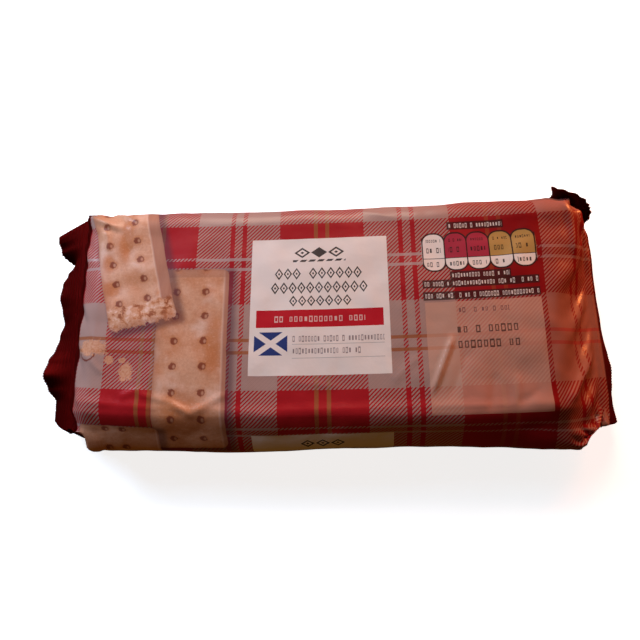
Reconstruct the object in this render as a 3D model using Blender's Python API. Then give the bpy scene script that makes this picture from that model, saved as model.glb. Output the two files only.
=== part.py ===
"""A shut flow-wrapped pack of shortbread fingers, modelled as the one solid that its film encloses.

The pack lies flat along X with its label side up. The origin is the bottom centre of its box, +Z is
up and the front long side faces -Y. Each end of the film tube slopes down off the contents to a
crimped seal at mid height, with the side panels tucked in as gussets and the cut edge of the seal in
teeth. The long seam of the tube is a low strip along the middle of the underside.

Run with: blender --background --python part.py
"""

import math
from dataclasses import dataclass

import bmesh
import bpy
from mathutils import Vector

# Driving dimensions, in metres.
PACK_HEIGHT = 0.029
PANEL_HALF_WIDTH = 0.033  # the flat of the top and bottom, from the middle to where the edge turns
SIDE_BULGE = 0.0108  # how far each long side stands out past that flat
SIDE_SQUARENESS = 3.0  # the superellipse power of the long sides: 2 is an ellipse
TOP_CROWN = 0.0006
FINGER_ROWS = 3  # fingers of shortbread side by side, which show faintly through the film
ROW_DIP = 0.0003

SEAL_HALF_WIDTH = 0.042
SEAL_SHIFT = 0.005  # how far both end seals sit behind the middle
SEAL_THICKNESS = 0.0010
SEAL_WIDTH = 0.012
TOOTH_DEPTH = 0.0011
GUSSET_DEPTH = 0.006
GUSSET_POWER = 1.3  # the superellipse power of the tucked side: 1 is a straight V
PULL_REACH = 0.020  # how much of a seal's back end is drawn in towards the pack

SEAM_WIDTH = 0.010
SEAM_THICKNESS = 0.0004

# How finely the shape is divided.
PANEL_SEGMENTS = 48
SIDE_SEGMENTS = 8
BODY_STATIONS = 12
SLOPE_STATIONS = 9
SEAL_STATIONS = 4


@dataclass(frozen=True)
class Wave:
    """A gentle swell: size times the cosine of the distance from peak, in turns of length."""

    size: float
    length: float
    peak: float

    def at(self, place):
        return self.size * math.cos(2 * math.pi * (place - self.peak) / self.length)


@dataclass(frozen=True)
class End:
    """One end of the pack. Distances run outwards from the middle of the pack."""

    outwards: int
    shoulder: float  # where the top film leaves the contents
    taper_start: float  # where the sides begin to draw in
    seal_start: float
    back_pull: float  # how far the seal's back end is drawn in towards the pack
    tilts: tuple  # how the seal droops, in degrees, at even steps from its front to its back


LEFT = End(-1, 0.0845, 0.080, 0.0925, 0.0, (40, 30, -14, 18, 34, 19, 24, 2, 14))
RIGHT = End(1, 0.0785, 0.084, 0.0945, 0.010, (36, 40, 28, 36, 46, 38, 42, 26, -60))

FRONT_SWELL = Wave(0.0010, 0.119, -0.036)
BACK_SWELL = Wave(0.0005, 0.140, -0.060)

FILM_RED = (0.36, 0.012, 0.022, 1.0)


def ease(t):
    """A smooth step from 0 to 1."""
    t = min(max(t, 0.0), 1.0)
    return t * t * (3 - 2 * t)


def mix(a, b, t):
    return a + (b - a) * t


def share_of(value, start, end):
    """How far value is from start to end, held between 0 and 1."""
    return min(max((value - start) / (end - start), 0.0), 1.0)


def power(value, exponent):
    """value to the exponent, keeping its sign."""
    return math.copysign(abs(value) ** exponent, value)


def smooth_run(values, share):
    """A smooth curve through evenly spaced values, at a share from 0 to 1 of its length."""
    steps = len(values) - 1
    step = min(int(share * steps), steps - 1)
    return mix(values[step], values[step + 1], ease(share * steps - step))


def panel_places():
    """The places across a panel, from -1 to 1."""
    return [2 * i / PANEL_SEGMENTS - 1 for i in range(PANEL_SEGMENTS + 1)]


def side_angles():
    """The angles down a side between its top and bottom corners, without those corners."""
    return [math.pi / 2 - math.pi * i / SIDE_SEGMENTS for i in range(1, SIDE_SEGMENTS)]


def top_relief(across, slope):
    """The crown and the faint rows of fingers on the top panel. It fades out down the slope."""
    crown = TOP_CROWN * (1 - across**2)
    rows = ROW_DIP * (1 - math.cos(math.pi * FINGER_ROWS * (across + 1))) / 2
    return (crown - ROW_DIP + rows) * (1 - slope)


def seam_relief(off_middle, slope):
    """How far the underside stands up off the seam's own face. It is nothing on the seam."""
    return 0.0 if abs(off_middle) <= SEAM_WIDTH / 2 else SEAM_THICKNESS * (1 - slope)


def section(end, distance):
    """One ring of points round the body or a slope, at a distance from the middle.

    The ring runs over the top panel from front to back, down the back side, under the bottom panel
    and up the front side.
    """
    slope = ease(share_of(distance, end.shoulder, end.seal_start))
    taper = share_of(distance, end.taper_start, end.seal_start)

    middle = PACK_HEIGHT / 2
    half_height = mix(PACK_HEIGHT / 2, SEAL_THICKNESS / 2, slope)
    half_width = mix(PANEL_HALF_WIDTH, SEAL_HALF_WIDTH, taper)
    centre = SEAL_SHIFT * taper
    tuck = GUSSET_DEPTH * math.sin(math.pi * taper) ** 2 if taper > 0.5 else 0.0
    top_edge = middle + half_height + top_relief(1.0, slope)
    bottom_edge = middle - half_height + SEAM_THICKNESS * (1 - slope)

    def panel(top):
        points = []
        for across in panel_places():
            y = centre + across * half_width
            if top:
                z = middle + half_height + top_relief(across, slope)
            else:
                z = middle - half_height + seam_relief(y - centre, slope)
            points.append((y, z))
        return points

    def side(facing, swell):
        corner = 2 / mix(SIDE_SQUARENESS, GUSSET_POWER, taper)
        bulge = SIDE_BULGE + swell.at(end.outwards * distance)
        reach = bulge * (1 - taper) - tuck
        points = []
        for angle in side_angles():
            y = centre + facing * (half_width + reach * power(math.cos(angle), corner))
            rise = power(math.sin(angle), mix(corner, 1.0, taper))
            points.append((y, mix(bottom_edge, top_edge, (rise + 1) / 2)))
        return points

    ring = panel(True) + side(1, BACK_SWELL) + panel(False)[::-1] + side(-1, FRONT_SWELL)[::-1]
    return [(end.outwards * (distance - pulled(end, y, taper)), y, z) for y, z in ring]


def pulled(end, y, taper):
    """How far a point is drawn in towards the pack, at the back of a seal and its slope."""
    back = SEAL_SHIFT + SEAL_HALF_WIDTH
    return end.back_pull * taper * ease(share_of(y, back - PULL_REACH, back))


def is_tooth_gap(place):
    """Whether a ring's point lies between two teeth of the cut edge."""
    bottom_step = 2 * PANEL_SEGMENTS + SIDE_SEGMENTS - place
    if place <= PANEL_SEGMENTS:
        return place % 2 == 1
    return 0 <= bottom_step <= PANEL_SEGMENTS and bottom_step % 2 == 1


def seal_ring(end, share):
    """One ring round the end seal, share of the way from the seal's start to its cut edge."""
    front = SEAL_SHIFT - SEAL_HALF_WIDTH
    back = SEAL_SHIFT + SEAL_HALF_WIDTH
    ring = []
    for place, (x, y, z) in enumerate(section(end, end.seal_start)):
        tilt = math.radians(smooth_run(end.tilts, share_of(y, front, back)))
        reach = SEAL_WIDTH * share
        if share == 1.0 and is_tooth_gap(place):
            reach -= TOOTH_DEPTH
        bend = math.sin(share * math.pi / 2) * tilt  # the film leaves the pack level, then tilts
        lift = z - PACK_HEIGHT / 2
        outwards = reach * math.cos(bend) + lift * math.sin(bend)
        z = PACK_HEIGHT / 2 - reach * math.sin(bend) + lift * math.cos(bend)
        ring.append((x + end.outwards * outwards, y, z))
    return ring


def end_rings(end):
    """The rings of one end, from where its slope or taper begins to the cut edge."""
    start = min(end.shoulder, end.taper_start)
    rings = []
    for i in range(1, SLOPE_STATIONS + 1):
        rings.append(section(end, mix(start, end.seal_start, i / SLOPE_STATIONS)))
    for i in range(1, SEAL_STATIONS + 1):
        rings.append(seal_ring(end, i / SEAL_STATIONS))
    return rings


def body_rings():
    """The rings between the two ends, from left to right."""
    left = -min(LEFT.shoulder, LEFT.taper_start)
    right = min(RIGHT.shoulder, RIGHT.taper_start)
    rings = []
    for i in range(BODY_STATIONS + 1):
        x = mix(left, right, i / BODY_STATIONS)
        rings.append(section(LEFT, -x) if x < 0 else section(RIGHT, x))
    return rings


def close_cut_edge(mesh, ring, outwards):
    """Faces the thin cut edge of a seal, from the top film to the bottom film."""
    size = len(ring)
    # The ring's points pair up across the edge: the first with the side's last, and so on.
    turn = SIDE_SEGMENTS // 2
    upper = [ring[(-turn + i) % size] for i in range(size // 2 + 1)]
    lower = [ring[(-turn - i) % size] for i in range(size // 2 + 1)]
    for i in range(size // 2):
        corners = list(dict.fromkeys([upper[i], upper[i + 1], lower[i + 1], lower[i]]))
        mesh.faces.new(corners[::-outwards])


def centre_on_base(mesh):
    """Moves the mesh so that the bottom centre of its box is the origin."""
    low = Vector(min(vert.co[axis] for vert in mesh.verts) for axis in range(3))
    high = Vector(max(vert.co[axis] for vert in mesh.verts) for axis in range(3))
    offset = Vector(((low.x + high.x) / 2, (low.y + high.y) / 2, low.z))
    bmesh.ops.translate(mesh, verts=mesh.verts, vec=-offset)


def film_material():
    material = bpy.data.materials.new("printed_film")
    material.use_nodes = True
    surface = material.node_tree.nodes["Principled BSDF"]
    surface.inputs["Base Color"].default_value = FILM_RED
    surface.inputs["Roughness"].default_value = 0.32
    surface.inputs["Metallic"].default_value = 0.0
    return material


def build_pack():
    """The whole pack as one closed mesh: a loft through every ring, with both cut edges faced."""
    rings = end_rings(LEFT)[::-1] + body_rings() + end_rings(RIGHT)
    mesh = bmesh.new()
    loops = [[mesh.verts.new(point) for point in ring] for ring in rings]
    for near, far in zip(loops, loops[1:]):
        size = len(near)
        for i in range(size):
            j = (i + 1) % size
            mesh.faces.new((near[i], far[i], far[j], near[j]))
    close_cut_edge(mesh, loops[0], LEFT.outwards)
    close_cut_edge(mesh, loops[-1], RIGHT.outwards)
    centre_on_base(mesh)

    data = bpy.data.meshes.new("pack")
    mesh.to_mesh(data)
    mesh.free()
    data.shade_smooth()
    data.set_sharp_from_angle(angle=math.radians(40))
    data.materials.append(film_material())
    pack = bpy.data.objects.new("pack", data)
    bpy.context.collection.objects.link(pack)
    return pack


def main():
    for old in list(bpy.data.objects):
        bpy.data.objects.remove(old)
    build_pack()


main()
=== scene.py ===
"""The looks of a shut flow-wrapped pack of shortbread fingers.

The wrapper is one printed sheet of film. It starts as the taut tube that the fingers and the end seals
would give, and is then relaxed at its real, unstretchable size, so that it creases where real film has
too much length. The end seals are crimped strips with a toothed cut edge, and the back seam is a fin
pressed flat. The print is worked out in the shader from the film's own coordinates.
"""

import logging
import math
from dataclasses import dataclass, field
from enum import Enum

import bpy
import numpy as np
from mathutils import Matrix, Vector


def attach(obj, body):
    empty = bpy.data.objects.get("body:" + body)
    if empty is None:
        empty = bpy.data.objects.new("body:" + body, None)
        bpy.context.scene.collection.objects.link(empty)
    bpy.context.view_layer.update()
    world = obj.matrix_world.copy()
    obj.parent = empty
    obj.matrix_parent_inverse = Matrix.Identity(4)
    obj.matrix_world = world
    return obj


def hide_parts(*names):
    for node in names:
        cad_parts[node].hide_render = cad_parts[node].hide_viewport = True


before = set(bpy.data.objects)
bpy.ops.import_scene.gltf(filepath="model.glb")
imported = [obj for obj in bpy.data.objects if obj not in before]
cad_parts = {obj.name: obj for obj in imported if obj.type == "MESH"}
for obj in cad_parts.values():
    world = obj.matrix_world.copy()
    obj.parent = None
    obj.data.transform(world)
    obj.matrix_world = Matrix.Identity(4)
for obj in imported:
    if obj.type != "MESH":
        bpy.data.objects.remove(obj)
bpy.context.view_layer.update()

LOG = logging.getLogger("biscuit_pack")
MM = 0.001
BODY = "root"

FILM_MAP = "film"  # each piece's place on the flat film, in millimetres
BAKE_MAP = "OFBake"  # each piece laid out flat, without overlaps, from 0 to 1
MAP_MARGIN = 0.01

# The middle of the fingers inside. The seals droop unevenly, which leaves the box's centre beside it.
PACK_MIDDLE = np.array([-0.4 * MM, -1.1 * MM, 0.0])

Array = np.ndarray
Colour = tuple[float, float, float, float]
Box = tuple[float, float, float, float]  # left, right, top and bottom on the film, in millimetres


def ease(t: Array) -> Array:
    """A smooth step from 0 to 1."""
    t = np.clip(t, 0.0, 1.0)
    return t * t * (3 - 2 * t)


def mix(a: Array, b: Array, t: Array) -> Array:
    """The value that lies t of the way from a to b."""
    return a + (b - a) * t


def smooth_run(values: tuple[float, ...], share: Array) -> Array:
    """A smooth curve through evenly spaced values.

    Args:
        values: The values, from one end to the other.
        share: Where to read it, from 0 to 1 of its length.

    Returns:
        The curve's value at each share.
    """
    table = np.array(values, float)
    place = np.clip(share, 0.0, 1.0) * (len(table) - 1)
    step = np.minimum(place.astype(int), len(table) - 2)
    return mix(table[step], table[step + 1], ease(place - step))


def unit(vectors: Array) -> Array:
    """The vectors at length one."""
    return vectors / np.maximum(np.linalg.norm(vectors, axis=-1, keepdims=True), 1e-12)


def smooth_noise(
    shape: tuple[int, int], spacing: tuple[float, float], coarse: float, seed: int
) -> Array:
    """An even field of soft random swells over the film, which joins up round the girth.

    Args:
        shape: The number of rows along the film and of columns round it.
        spacing: The distance between rows and between columns.
        coarse: The typical distance from crest to crest.
        seed: Fixes the random draw.

    Returns:
        One number for each point, with mean 0 and spread 1.
    """
    rows, columns = shape
    padded = rows + rows % 2 + 32  # the field joins up along the film too, so that join is cut off
    drawn = np.random.default_rng(seed).standard_normal((padded, columns))
    along = np.fft.fftfreq(padded, spacing[0])[:, None]
    across = np.fft.fftfreq(columns, spacing[1])[None, :]
    keep = np.exp(-((along**2 + across**2) * coarse**2) * 1.5)
    swells = np.fft.ifft2(np.fft.fft2(drawn) * keep).real[:rows]
    return (swells - swells.mean()) / swells.std()


class Value:
    """A socket in a node tree, with arithmetic that adds Math nodes."""

    def __init__(self, nodes: "Nodes", socket: bpy.types.NodeSocket) -> None:
        """Wraps a socket of the tree."""
        self.nodes = nodes
        self.socket = socket

    def maths(self, operation: str, *others: "Value | float", swap: bool = False) -> "Value":
        """Adds a Math node.

        Args:
            operation: The node's operation.
            others: Its inputs after this one.
            swap: Whether this value is the second input.

        Returns:
            The node's result.
        """
        inputs = [self, *others]
        if swap:
            inputs.reverse()
        return self.nodes.add("ShaderNodeMath", {"operation": operation}, dict(enumerate(inputs)))

    def __add__(self, other: "Value | float") -> "Value":
        """The sum."""
        return self.maths("ADD", other)

    __radd__ = __add__

    def __sub__(self, other: "Value | float") -> "Value":
        """The difference."""
        return self.maths("SUBTRACT", other)

    def __rsub__(self, other: float) -> "Value":
        """The difference from a number."""
        return self.maths("SUBTRACT", other, swap=True)

    def __mul__(self, other: "Value | float") -> "Value":
        """The product."""
        return self.maths("MULTIPLY", other)

    __rmul__ = __mul__

    def __truediv__(self, other: "Value | float") -> "Value":
        """The quotient."""
        return self.maths("DIVIDE", other)

    def __lt__(self, other: "Value | float") -> "Value":
        """1 where this is less, and 0 elsewhere."""
        return self.maths("LESS_THAN", other)

    def __gt__(self, other: "Value | float") -> "Value":
        """1 where this is more, and 0 elsewhere."""
        return self.maths("GREATER_THAN", other)

    def __abs__(self) -> "Value":
        """The size without its sign."""
        return self.maths("ABSOLUTE")

    def fraction(self) -> "Value":
        """What is left of the next lower whole number."""
        return self.maths("FRACT")

    def floor(self) -> "Value":
        """The next lower whole number."""
        return self.maths("FLOOR")

    def rounded(self) -> "Value":
        """The nearest whole number."""
        return self.maths("ROUND")

    def sine(self) -> "Value":
        """The sine of an angle in radians."""
        return self.maths("SINE")

    def root(self) -> "Value":
        """The square root."""
        return self.maths("SQRT")

    def least(self, other: "Value | float") -> "Value":
        """The smaller of the two."""
        return self.maths("MINIMUM", other)

    def most(self, other: "Value | float") -> "Value":
        """The larger of the two."""
        return self.maths("MAXIMUM", other)

    def between_0_and_1(self) -> "Value":
        """The value held between 0 and 1."""
        return self.most(0.0).least(1.0)

    def rising(self, start: float, end: float) -> "Value":
        """0 below the start and 1 above the end, with a smooth step between."""
        return self.nodes.add(
            "ShaderNodeMapRange",
            {"interpolation_type": "SMOOTHSTEP"},
            {"Value": self, "From Min": start, "From Max": end, "To Min": 0.0, "To Max": 1.0},
        )


class Nodes:
    """A node tree under construction."""

    def __init__(self, tree: bpy.types.NodeTree) -> None:
        """Starts on a tree."""
        self.tree = tree
        self.inputs: bpy.types.Node | None = None

    def add(
        self, kind: str, settings: dict | None = None, values: dict | None = None, out: int | str | None = 0
    ) -> Value | None:
        """Adds a node.

        Args:
            kind: The node's type.
            settings: Its own settings, which are set first.
            values: The values or links of its sockets, by name or number.
            out: Which result to give back, by name or number.

        Returns:
            That result, or nothing where there is none to give.
        """
        node = self.tree.nodes.new(kind)
        for name, value in (settings or {}).items():
            setattr(node, name, value)
        for name, value in (values or {}).items():
            if isinstance(value, Value):
                self.tree.links.new(value.socket, node.inputs[name])
            else:
                node.inputs[name].default_value = value
        return None if out is None else Value(self, node.outputs[out])

    def given(self, name: str) -> Value:
        """One of the tree's own inputs."""
        if self.inputs is None:
            self.inputs = self.tree.nodes.new("NodeGroupInput")
        return Value(self, self.inputs.outputs[name])

    def feed(self, node: bpy.types.Node, socket: str, value: Value) -> None:
        """Links a value to one socket of a node that is already there."""
        self.tree.links.new(value.socket, node.inputs[socket])

    def joined(self, *parts: Value) -> Value:
        """Several geometries in one."""
        join = self.tree.nodes.new("GeometryNodeJoinGeometry")
        for part in reversed(parts):
            self.tree.links.new(part.socket, join.inputs[0])
        return Value(self, join.outputs[0])


class Side(Enum):
    """Which end of the pack, as its direction along X."""

    LEFT = -1
    RIGHT = 1


@dataclass(frozen=True)
class EndShape:
    """How one end of the film tube closes. Distances run outwards from the pack's middle."""

    side: Side
    seal_start: float
    slope: float  # the steepness of the film between the fingers and the seal, in degrees
    crown_radius: float  # where the film turns down off the fingers
    sides_hold: tuple[float, float]  # where the front and the back side begin to draw in
    pulls: tuple[float, ...]  # how far the seal is drawn towards the pack, at even steps from front to back
    lifts: tuple[float, ...]  # how much higher it lies, at the same steps
    bulges: tuple[float, ...]  # how far the slope stands out, at the same steps
    sways: tuple[float, ...]  # how far the cut edge lies towards the back, at the same steps
    tilts: tuple[float, ...]  # how the seal droops, in degrees, at the same steps


@dataclass(frozen=True)
class Crease:
    """A fold line in the film, in millimetres on the film. It stands up, or dips where below 0."""

    start: tuple[float, float]  # along the film and round it
    end: tuple[float, float]
    height: float
    width: float  # how far its flanks reach
    sharp: bool = True  # a fold line, and not a soft hollow

    def lift(self, u: Array, w: Array) -> Array:
        """How far the crease moves the film at each place, in metres.

        Args:
            u: The places along the film, in metres.
            w: The places round it.

        Returns:
            The lift, which is nothing away from the crease.
        """
        start, end = np.array(self.start) * MM, np.array(self.end) * MM
        run = end - start
        length = np.hypot(*run)
        du, dw = u - start[0], w - start[1]
        share = (du * run[0] + dw * run[1]) / length**2
        off = np.abs(dw * run[0] - du * run[1]) / length
        near = np.clip(1 - (off / (self.width * MM)) ** (1 if self.sharp else 2), 0, 1)
        flank = near ** (1.5 if self.sharp else 1.3)
        fade = min(0.25, 12 * MM / length)  # its ends die away over this share of it
        return self.height * MM * flank * ease(share / fade) * ease((1 - share) / fade)


CREASES = (
    Crease((-92.0, 29.5), (-52.0, 31.5), 0.50, 3.0),  # the front edge, in four stretches
    Crease((-62.0, 31.0), (-12.0, 32.5), 0.45, 3.0),
    Crease((-22.0, 32.0), (38.0, 31.5), 0.45, 3.0),
    Crease((28.0, 31.5), (80.0, 32.5), 0.45, 3.0),
    Crease((-104.0, 40.8), (-46.0, 41.7), -2.6, 7.9, sharp=False),  # the flat below that edge
    Crease((-58.0, 41.7), (8.0, 41.2), -2.6, 7.9, sharp=False),
    Crease((-4.0, 41.2), (56.0, 42.3), -2.6, 7.9, sharp=False),
    Crease((44.0, 42.3), (96.0, 41.4), -2.5, 7.9, sharp=False),
    Crease((44.0, 7.0), (34.6, 29.0), 1.2, 1.6),  # the long ridge across the stamped field
    Crease((48.5, 12.0), (40.0, 31.0), -0.35, 3.0),
    Crease((-63.0, 26.5), (-49.5, 29.5), 0.60, 2.6),  # the fold on the upright finger
    Crease((-52.0, 28.5), (-42.5, 34.0), 0.80, 2.2),
    Crease((-45.0, 34.0), (-31.0, 25.5), 0.60, 2.4),
    Crease((-69.0, 28.5), (-60.0, 24.5), 0.45, 2.2),
    Crease((-90.0, -41.0), (-75.0, -34.0), 0.85, 2.2),  # the crinkles of the back left corner
    Crease((-82.0, -45.0), (-66.0, -37.0), 0.70, 2.0),
    Crease((-85.0, -36.5), (-72.0, -31.5), -0.45, 2.6),
    Crease((-80.0, -34.5), (-77.5, -24.0), 0.50, 2.0),
    Crease((-83.5, -36.0), (-82.0, -18.0), -0.60, 2.2),
    Crease((-88.0, -30.0), (-84.5, -14.0), 0.45, 2.0),
    Crease((-74.5, -41.0), (-69.5, -21.0), -0.35, 3.0),
    Crease((-85.0, 12.0), (-74.0, 21.0), 0.40, 2.0),
    Crease((56.0, 20.5), (53.0, 35.0), -0.35, 3.0),  # the dents low in the stamped field
    Crease((63.5, 21.0), (61.0, 34.0), 0.35, 2.4),
    Crease((71.0, 27.0), (60.0, 33.0), -0.35, 2.6),
    Crease((84.5, -41.0), (88.5, -15.0), 0.80, 2.8),  # the folds of the back right corner
    Crease((88.0, -43.0), (93.0, -22.0), -0.90, 2.8),
    Crease((97.0, 16.0), (77.0, 34.5), 0.95, 3.0),  # the fold of the front right corner
    Crease((-12.0, 22.5), (8.0, 24.5), 0.25, 2.6),  # soft folds on the flat
    Crease((10.0, -41.0), (30.0, -34.5), 0.25, 2.6),
    Crease((22.0, 24.0), (33.0, 14.0), 0.22, 2.4),
)

LEFT_END = EndShape(
    side=Side.LEFT,
    seal_start=92.5 * MM,
    slope=75.0,
    crown_radius=11 * MM,
    sides_hold=(82 * MM, 82 * MM),
    pulls=(0, 0, 0, 0, -0.3 * MM, -0.8 * MM, -1.2 * MM, -1.5 * MM, -1.5 * MM),
    lifts=(0, 0),
    bulges=(0, 0, 0.5 * MM, 1 * MM, 1 * MM),
    sways=(5 * MM, 1.6 * MM, 0, 0, 0, 0, 0, -2.2 * MM, -7 * MM),
    tilts=(36, 34, 32, 11, -10, 4, 18, 26, 34, 26, 19, 24, 34, 46, 12, 4, 2),
)
RIGHT_END = EndShape(
    side=Side.RIGHT,
    seal_start=95.0 * MM,
    slope=40.0,
    crown_radius=14 * MM,
    sides_hold=(84 * MM, 82 * MM),
    pulls=(1 * MM, 0.5 * MM, *[0] * 11, 0.3 * MM, 1.8 * MM, 8 * MM, 13 * MM),
    lifts=(0, 0, 0, 0, 0, 0.5 * MM, 2 * MM, 3.5 * MM, 1 * MM),
    bulges=(0, 0, 0, 0.5 * MM, 1 * MM, 2.5 * MM, 5 * MM, 8 * MM, 8 * MM),
    sways=(2 * MM, 0, 0, 0, 0, 0, 0, 1 * MM, 0),
    tilts=(46, 49, 52, 48, 46, 50, 54, 57, 60, 61, 64, 68, 72, 76, 74, -10, -85),
)


@dataclass(frozen=True)
class Wave:
    """A gentle swell along a long side of the pack."""

    size: float
    length: float  # from crest to crest
    crest: float  # where one crest stands

    def at(self, x: Array) -> Array:
        """How far the side stands out at each place along the pack."""
        return self.size * np.cos(2 * math.pi * (x - self.crest) / self.length)


@dataclass
class TubeForm:
    """The taut form of the film tube, as a function of the film's own coordinates.

    u runs along the film and w round it, from the middle of the label side and positive towards the
    front, both in metres.
    """

    top: float = 29 * MM
    underside: float = 0.4 * MM  # the film stands on the back seam
    seal_level: float = 14.5 * MM
    panel_half: float = 32 * MM  # the flat of the top and bottom
    side_bulge: float = 11.8 * MM
    side_squareness: float = 3.0
    crown: float = 0.5 * MM
    front_swell: Wave = Wave(1.0 * MM, 119 * MM, -36 * MM)
    back_swell: Wave = Wave(0.5 * MM, 140 * MM, -60 * MM)
    seal_half: float = 42 * MM
    seal_shift: float = 5 * MM  # how far both seals sit behind the middle
    seal_gap: float = 0.30 * MM  # from a seal's middle to the outer film where it begins
    seal_width: float = 12 * MM
    gusset_press: float = 0.75  # how much thinner the layers of film are once they are in the seal
    foot_radius: float = 2.0 * MM  # where it turns level into the seal
    curve_steps: int = 200  # for each straight or bend of an end's profile
    ends: tuple[EndShape, EndShape] = (LEFT_END, RIGHT_END)
    profiles: dict = field(default_factory=dict)

    def __post_init__(self) -> None:
        """Works out the cross-section's curve and each end's profile once."""
        turn = np.linspace(math.pi / 2, -math.pi / 2, 721)
        power = 2 / self.side_squareness
        half = (self.top - self.underside) / 2
        reach = self.panel_half + self.side_bulge * np.abs(np.cos(turn)) ** power
        rise = self.underside + half + half * np.sign(np.sin(turn)) * np.abs(np.sin(turn)) ** power
        self.body_y = np.r_[0, reach, 0]
        self.body_z = np.r_[self.top, rise, self.underside]
        steps = np.hypot(np.diff(self.body_y), np.diff(self.body_z))
        self.body_s = np.r_[0, np.cumsum(steps)]
        self.half_girth = float(self.body_s[-1])
        wide, tuck = self.seal_half, self.half_girth / 2 - self.seal_half
        self.seal_s = np.array([0, wide, wide + tuck, wide + 2 * tuck, self.half_girth])
        self.seal_y = np.array([0, wide, wide - tuck, wide, 0])
        inner = self.seal_gap * 0.3
        self.seal_z = np.array([self.seal_gap, inner, 0, -inner, -self.seal_gap])
        for end in self.ends:
            self.profiles[end.side] = self.profile(end)

    def profile(self, end: EndShape) -> tuple[Array, Array, Array]:
        """The line that the top film follows down to a seal.

        Args:
            end: The end of the pack.

        Returns:
            Film length, distance from the pack's middle, and the share of the drop, along the line.
        """
        drop = self.top - self.seal_level - self.seal_gap
        angle = math.radians(end.slope)
        bends = (end.crown_radius + self.foot_radius) * (1 - math.cos(angle))
        straight = (drop - bends) / math.sin(angle)
        turns = [
            (end.crown_radius * angle, lambda t: t * angle),
            (straight, lambda t: angle + 0 * t),
            (self.foot_radius * angle, lambda t: (1 - t) * angle),
        ]
        t = (np.arange(self.curve_steps) + 0.5) / self.curve_steps
        steps = np.concatenate([np.full(len(t), length / len(t)) for length, _ in turns])
        heads = np.concatenate([heading(t) for _, heading in turns])
        along = np.r_[0, np.cumsum(steps)]
        out = np.r_[0, np.cumsum(steps * np.cos(heads))]
        down = np.r_[0, np.cumsum(steps * np.sin(heads))]
        return along, out + end.seal_start - out[-1], down / down[-1]

    def film_end(self, end: EndShape) -> float:
        """How far along the film, from the middle, a seal begins."""
        along, out, _ = self.profiles[end.side]
        return float(out[0] + along[-1])

    def seal_share(self, y: Array) -> Array:
        """How far each place is across a seal, from its front to its back."""
        return np.clip((y - self.seal_shift + self.seal_half) / (2 * self.seal_half), 0, 1)

    def pulled(self, end: EndShape, y: Array) -> Array:
        """How far the seal is drawn in towards the pack at each place across it."""
        return smooth_run(end.pulls, self.seal_share(y))

    def lifted(self, end: EndShape, y: Array) -> Array:
        """How much higher than its usual level the seal lies at each place across it."""
        return smooth_run(end.lifts, self.seal_share(y))

    def swayed(self, end: EndShape, y: Array) -> Array:
        """How far the cut edge lies towards the back at each place across the seal."""
        return smooth_run(end.sways, self.seal_share(y))

    def seal_place(self, end: EndShape, reach: Array, y: Array, lift: Array) -> Array:
        """Points on a seal's drooping sheet.

        Args:
            end: The end of the pack.
            reach: The distance past the seal's start.
            y: The place across the pack.
            lift: The distance off the sheet's middle, upwards.

        Returns:
            The points, as an array that ends in x, y and z.
        """
        share = np.clip(reach / self.seal_width, 0.0, 1.0)
        tilt = np.radians(smooth_run(end.tilts, self.seal_share(y)))
        bend = np.sin(share * math.pi / 2) * tilt
        out = end.seal_start - self.pulled(end, y) + reach * np.cos(bend) + lift * np.sin(bend)
        z = self.seal_level + self.lifted(end, y) - reach * np.sin(bend) + lift * np.cos(bend)
        y = y + share * self.swayed(end, y)
        return np.stack(np.broadcast_arrays(end.side.value * out, y, z), axis=-1)

    def places(self, u: Array, w: Array) -> Array:
        """The taut film's points.

        Args:
            u: Film coordinates along the film, one for each row.
            w: Film coordinates round it, one for each column.

        Returns:
            The points, by row and column.
        """
        side = -np.sign(w)[None, :]
        arc = np.abs(w)[None, :]
        body_y = np.interp(arc, self.body_s, self.body_y)
        body_z = np.interp(arc, self.body_s, self.body_z)
        seal_y = np.interp(arc, self.seal_s, self.seal_y)
        seal_z = np.interp(arc, self.seal_s, self.seal_z)
        x = np.array(u, float)[:, None] + 0 * arc
        share = np.zeros_like(x)
        beyond = np.zeros_like(x)
        narrow = np.zeros_like(x)
        for end in self.ends:
            along, out, drop = self.profiles[end.side]
            run = end.side.value * u - out[0]
            at_end = run > 0
            x[at_end] = (end.side.value * np.interp(run[at_end], along, out))[:, None]
            share[at_end] = np.interp(run[at_end], along, drop)[:, None]
            beyond[at_end] = np.maximum(run[at_end] - along[-1], 0)[:, None]
            hold = np.where(side < 0, *end.sides_hold)
            drawn_in = np.clip((end.side.value * x - hold) / (end.seal_start - hold), 0, 1) ** 1.4
            narrow = np.where(at_end[:, None], drawn_in, narrow)
        swell = np.where(side < 0, self.front_swell.at(x), self.back_swell.at(x))
        out_of_flat = np.clip((body_y - self.panel_half) / self.side_bulge, 0, 1)
        body_y = body_y + swell * out_of_flat
        crown = self.crown * (1 - (body_y / self.panel_half) ** 2)
        body_z = body_z + np.where(arc < self.panel_half, crown, 0)
        y = mix(side * body_y, self.seal_shift + side * seal_y, narrow)
        z = mix(body_z, self.seal_level + seal_z, share)
        for end in self.ends:
            here = end.side.value * x > 0
            bulge = 4 * share * (1 - share) * smooth_run(end.bulges, self.seal_share(y))
            bulge = np.where(here, bulge, 0)
            x += end.side.value * (bulge - np.where(here, share * self.pulled(end, y), 0))
            z += 0.2 * bulge * np.where(z > self.seal_level, 1, -1)
            z += np.where(here, share * self.lifted(end, y), 0)
            past = (beyond > 0) & (end.side.value * np.array(u)[:, None] > 0)
            flatter = 1 - self.gusset_press * np.clip(beyond / (2 * MM), 0, 1)
            sheet = self.seal_place(end, beyond, y, seal_z * flatter)
            x, y, z = (np.where(past, sheet[..., i], value) for i, value in enumerate((x, y, z)))
        return np.stack([x, y, z], axis=-1)


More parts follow.
